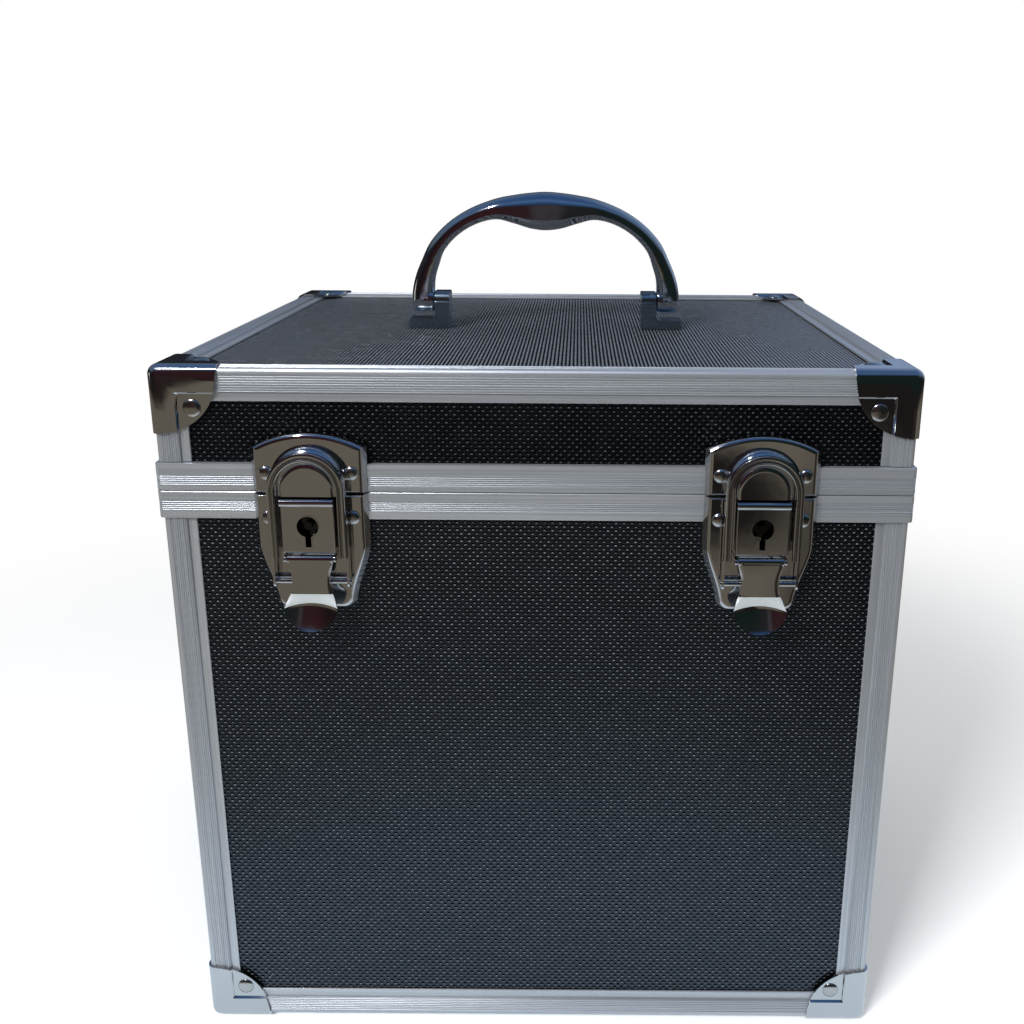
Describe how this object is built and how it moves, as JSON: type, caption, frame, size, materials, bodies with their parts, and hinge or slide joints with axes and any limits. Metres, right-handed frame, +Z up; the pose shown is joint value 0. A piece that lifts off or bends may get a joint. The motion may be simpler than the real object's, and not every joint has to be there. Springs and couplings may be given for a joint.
{
  "type": "carrying case",
  "caption": "Square carrying case with ribbed aluminium edges, dark panels, corner caps, a hinged lid, key latches and a swinging arched handle.",
  "frame": {"origin": "on the ground under the middle of the closed case, latches and hinges included", "axes": "+Z up, -Y towards the latches at the front, +Y towards the hinges at the back, +X to the right seen from the front"},
  "size_m": [0.3536, 0.3513, 0.4275],
  "materials": {
    "laminate": "black laminate with small raised nubs",
    "aluminium": "satin anodised extrusion with fine ribs",
    "chrome": "polished chrome plating",
    "steel": "plain zinc-plated steel",
    "foam": "dark lining foam"
  },
  "bodies": {
    "base": {"base_back_bottom_edge": "aluminium", "base_back_left_cap": "chrome", "base_back_left_upright": "aluminium", "base_back_panel": "laminate", "base_back_right_cap": "chrome", "base_back_right_upright": "aluminium", "base_bottom_panel": "laminate", "base_front_bottom_edge": "aluminium", "base_front_left_cap": "chrome", "base_front_left_upright": "aluminium", "base_front_panel": "laminate", "base_front_right_cap": "chrome", "base_front_right_upright": "aluminium", "base_left_bottom_edge": "aluminium", "base_left_panel": "laminate", "base_lining": "foam", "base_right_bottom_edge": "aluminium", "base_right_panel": "laminate", "base_rim": "aluminium", "hinge_left_base_leaf": "steel", "hinge_left_pin": "steel", "hinge_right_base_leaf": "steel", "hinge_right_pin": "steel", "left_lock_plate": "chrome", "right_lock_plate": "chrome"},
    "lid": {"lid_back_left_cap": "chrome", "lid_back_left_upright": "aluminium", "lid_back_panel": "laminate", "lid_back_right_cap": "chrome", "lid_back_right_upright": "aluminium", "lid_back_top_edge": "aluminium", "lid_front_left_cap": "chrome", "lid_front_left_upright": "aluminium", "lid_front_panel": "laminate", "lid_front_right_cap": "chrome", "lid_front_right_upright": "aluminium", "lid_front_top_edge": "aluminium", "lid_left_panel": "laminate", "lid_left_top_edge": "aluminium", "lid_lining": "foam", "lid_right_panel": "laminate", "lid_right_top_edge": "aluminium", "lid_rim": "aluminium", "lid_top_panel": "laminate", "hinge_left_lid_leaf": "steel", "hinge_right_lid_leaf": "steel", "left_keeper": "chrome", "right_keeper": "chrome", "handle_bracket_left": "chrome", "handle_bracket_right": "chrome", "handle_pin_left": "steel", "handle_pin_right": "steel"},
    "handle": {"handle": "chrome"},
    "left_lever": {"left_lever": "chrome"},
    "right_lever": {"right_lever": "chrome"},
    "left_bail": {"left_bail": "chrome"},
    "right_bail": {"right_bail": "chrome"},
    "left_lock_cam": {"left_lock_cam": "steel"},
    "right_lock_cam": {"right_lock_cam": "steel"}
  },
  "joints": [
    {"name": "lid_hinge", "type": "hinge", "parent": "base", "child": "lid", "pos_m": [0, 0.16865, 0.2961], "axis": [-1, 0, 0], "range_deg": [0, 98]},
    {"name": "handle_swing", "type": "hinge", "parent": "lid", "child": "handle", "pos_m": [0, 0.00335, 0.3665], "axis": [1, 0, 0], "range_deg": [-90, 90]},
    {"name": "left_lever_swing", "type": "hinge", "parent": "base", "child": "left_lever", "pos_m": [-0.1045, -0.16765, 0.2664], "axis": [-1, 0, 0], "range_deg": [0, 110]},
    {"name": "left_bail_swing", "type": "hinge", "parent": "left_lever", "child": "left_bail", "pos_m": [-0.1045, -0.16535, 0.2549], "axis": [-1, 0, 0], "range_deg": [-100, 0]},
    {"name": "left_lock_turn", "type": "hinge", "parent": "base", "child": "left_lock_cam", "pos_m": [-0.1045, -0.16165, 0.2825], "axis": [0, 1, 0], "range_deg": [0, 90]},
    {"name": "right_lever_swing", "type": "hinge", "parent": "base", "child": "right_lever", "pos_m": [0.1045, -0.16765, 0.2664], "axis": [-1, 0, 0], "range_deg": [0, 110]},
    {"name": "right_bail_swing", "type": "hinge", "parent": "right_lever", "child": "right_bail", "pos_m": [0.1045, -0.16535, 0.2549], "axis": [-1, 0, 0], "range_deg": [-100, 0]},
    {"name": "right_lock_turn", "type": "hinge", "parent": "base", "child": "right_lock_cam", "pos_m": [0.1045, -0.16165, 0.2825], "axis": [0, 1, 0], "range_deg": [0, 90]}
  ],
  "couplings": [
    {"joint": "left_bail_swing", "follows": "left_lever_swing", "ratio": -0.9},
    {"joint": "right_bail_swing", "follows": "right_lever_swing", "ratio": -0.9}
  ]
}
